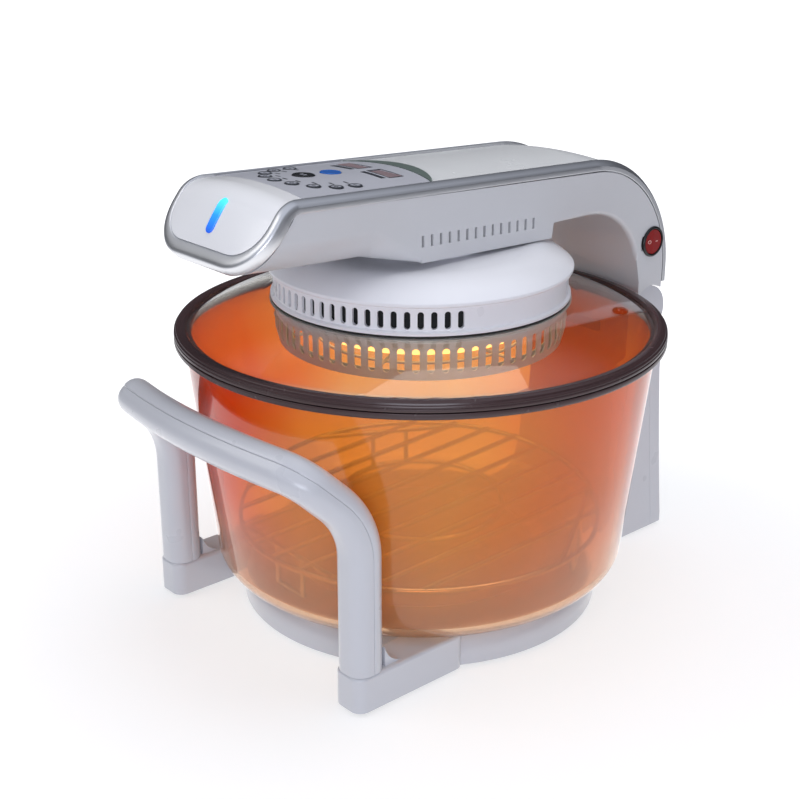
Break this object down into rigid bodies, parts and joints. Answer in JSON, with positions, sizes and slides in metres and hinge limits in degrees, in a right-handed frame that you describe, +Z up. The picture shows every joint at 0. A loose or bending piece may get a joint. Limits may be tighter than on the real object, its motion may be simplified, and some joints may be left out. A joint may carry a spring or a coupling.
{
  "type": "halogen oven",
  "caption": "Countertop halogen oven: glass bowl on a round base with a bowed carrying handle, and a hinged arm that carries the glass lid, fan heater head and controls.",
  "frame": {"origin": "the glass bowl's axis on the table", "axes": "+Z up; -Y is the front, with the nose, the controls and the handle; the hinge column is at +Y; +X is the side with the power switch"},
  "size_m": [0.3408, 0.4107, 0.3197],
  "materials": {
    "white_gloss": "moulded white ABS, glossy",
    "base_plate_grey": "moulded grey plastic, fine texture",
    "black_rubber": "moulded rubber",
    "steel_screws": "zinc plated",
    "silicone_seat": "grey silicone",
    "nylon_black": "black moulded nylon",
    "hinge_steel": "ground steel",
    "bowl_glass": "amber tinted heat-resistant glass",
    "rim_plum": "dark plum-brown heat-resistant plastic",
    "rack_wire": "chromed wire",
    "lid_glass": "clear heat-resistant glass",
    "gasket_black": "black silicone",
    "guard_steel": "brushed stainless steel, lit round the ring",
    "reflector_aluminium": "bright rolled aluminium",
    "quartz_tube": "quartz glass lamp",
    "lamp_ceramic": "white steatite ceramic",
    "motor_grey": "laminated steel and lacquer",
    "shaft_steel": "ground steel",
    "fan_aluminium": "pressed aluminium",
    "arm_grey": "moulded light grey ABS, silver tint",
    "trim_chrome": "polished and brushed metal trim",
    "face_white": "glossy white plastic",
    "led_blue": "blue light pipe",
    "panel_lavender": "printed lavender grey overlay",
    "crescent_grey": "smoked grey overlay strip",
    "window_rose": "smoked display window",
    "board_green": "circuit board laminate",
    "bezel_black": "black moulded plastic",
    "rocker_red": "translucent dark red plastic",
    "button_black": "glossy black button",
    "button_blue": "glossy blue button",
    "key_grey": "grey lavender button"
  },
  "bodies": {
    "base": {"base_shell": "white_gloss", "base_plate": "base_plate_grey", "rubber_feet": "black_rubber", "housing_screws": "steel_screws", "bowl_seat_ring": "silicone_seat", "column_shell": "white_gloss", "column_back_cover": "white_gloss", "terminal_block": "nylon_black", "safety_switch": "nylon_black", "cable_gland": "nylon_black", "handle_front_shell": "white_gloss", "handle_rear_shell": "white_gloss", "hinge_pin": "hinge_steel", "lid_springs": "hinge_steel"},
    "bowl": {"glass_bowl": "bowl_glass", "bowl_rim_ring": "rim_plum"},
    "rack": {"wire_rack": "rack_wire"},
    "lid": {"lid_glass": "lid_glass", "lid_ring": "rim_plum", "lid_gasket": "gasket_black", "head_vent_band": "white_gloss", "head_dome": "white_gloss", "heater_guard": "guard_steel", "guard_grille": "rack_wire", "reflector_plate": "reflector_aluminium", "halogen_tube": "quartz_tube", "tube_holders": "lamp_ceramic", "lid_screws": "steel_screws", "fan_motor": "motor_grey", "thermostat_probe": "shaft_steel", "thermal_fuse": "lamp_ceramic", "arm_lower_shell": "arm_grey", "arm_top_cover": "white_gloss", "trim_strips": "trim_chrome", "nose_ring": "trim_chrome", "nose_face": "face_white", "led_lens": "led_blue", "control_panel": "panel_lavender", "crescent_strip": "crescent_grey", "display_windows": "window_rose", "control_board": "board_green", "power_board": "board_green", "switch_bezel": "bezel_black"},
    "fan_rotor": {"motor_shaft": "shaft_steel", "cooling_fan": "fan_aluminium", "convection_fan": "fan_aluminium"},
    "power_rocker": {"power_rocker": "rocker_red"},
    "start_button": {"start_button": "button_black"},
    "light_button": {"light_button": "button_blue"},
    "key_1": {"key_1": "key_grey"},
    "key_2": {"key_2": "key_grey"},
    "key_3": {"key_3": "key_grey"},
    "key_4": {"key_4": "key_grey"},
    "key_5": {"key_5": "key_grey"},
    "key_6": {"key_6": "key_grey"},
    "key_7": {"key_7": "key_grey"},
    "key_8": {"key_8": "key_grey"},
    "key_9": {"key_9": "key_grey"}
  },
  "joints": [
    {"name": "bowl_turn", "type": "hinge", "parent": "base", "child": "bowl", "pos_m": [0, 0, 0.028], "axis": [0, 0, 1], "continuous": true},
    {"name": "rack_lift", "type": "slide", "parent": "bowl", "child": "rack", "axis": [0, 0, 1], "range_m": [0, 0.12]},
    {"name": "lid_hinge", "type": "hinge", "parent": "base", "child": "lid", "pos_m": [0, 0.188, 0.1825], "axis": [-1, 0, 0], "range_deg": [0, 85], "stiffness_Nm_per_rad": 1.2, "springref_deg": 91.67},
    {"name": "fan_spin", "type": "hinge", "parent": "lid", "child": "fan_rotor", "pos_m": [0, 0, 0.23], "axis": [0, 0, 1], "continuous": true},
    {"name": "power_rock", "type": "hinge", "parent": "lid", "child": "power_rocker", "pos_m": [0.051, 0.1855, 0.237], "axis": [0, 0, 1], "range_deg": [0, 16]},
    {"name": "start_button_press", "type": "slide", "parent": "lid", "child": "start_button", "axis": [0, -0.0469, -0.9989], "range_m": [0, 0.0008], "stiffness_N_per_m": 800, "springref_m": -0.0004},
    {"name": "light_button_press", "type": "slide", "parent": "lid", "child": "light_button", "axis": [0, -0.0469, -0.9989], "range_m": [0, 0.0008], "stiffness_N_per_m": 800, "springref_m": -0.0004},
    {"name": "key_1_press", "type": "slide", "parent": "lid", "child": "key_1", "axis": [0, -0.0469, -0.9989], "range_m": [0, 0.0008], "stiffness_N_per_m": 800, "springref_m": -0.0004},
    {"name": "key_2_press", "type": "slide", "parent": "lid", "child": "key_2", "axis": [0, -0.0469, -0.9989], "range_m": [0, 0.0008], "stiffness_N_per_m": 800, "springref_m": -0.0004},
    {"name": "key_3_press", "type": "slide", "parent": "lid", "child": "key_3", "axis": [0, -0.0469, -0.9989], "range_m": [0, 0.0008], "stiffness_N_per_m": 800, "springref_m": -0.0004},
    {"name": "key_4_press", "type": "slide", "parent": "lid", "child": "key_4", "axis": [0, -0.0469, -0.9989], "range_m": [0, 0.0008], "stiffness_N_per_m": 800, "springref_m": -0.0004},
    {"name": "key_5_press", "type": "slide", "parent": "lid", "child": "key_5", "axis": [0, -0.0469, -0.9989], "range_m": [0, 0.0008], "stiffness_N_per_m": 800, "springref_m": -0.0004},
    {"name": "key_6_press", "type": "slide", "parent": "lid", "child": "key_6", "axis": [0, -0.0469, -0.9989], "range_m": [0, 0.0008], "stiffness_N_per_m": 800, "springref_m": -0.0004},
    {"name": "key_7_press", "type": "slide", "parent": "lid", "child": "key_7", "axis": [0, -0.0469, -0.9989], "range_m": [0, 0.0008], "stiffness_N_per_m": 800, "springref_m": -0.0004},
    {"name": "key_8_press", "type": "slide", "parent": "lid", "child": "key_8", "axis": [0, -0.0469, -0.9989], "range_m": [0, 0.0008], "stiffness_N_per_m": 800, "springref_m": -0.0004},
    {"name": "key_9_press", "type": "slide", "parent": "lid", "child": "key_9", "axis": [0, -0.0469, -0.9989], "range_m": [0, 0.0008], "stiffness_N_per_m": 800, "springref_m": -0.0004}
  ]
}
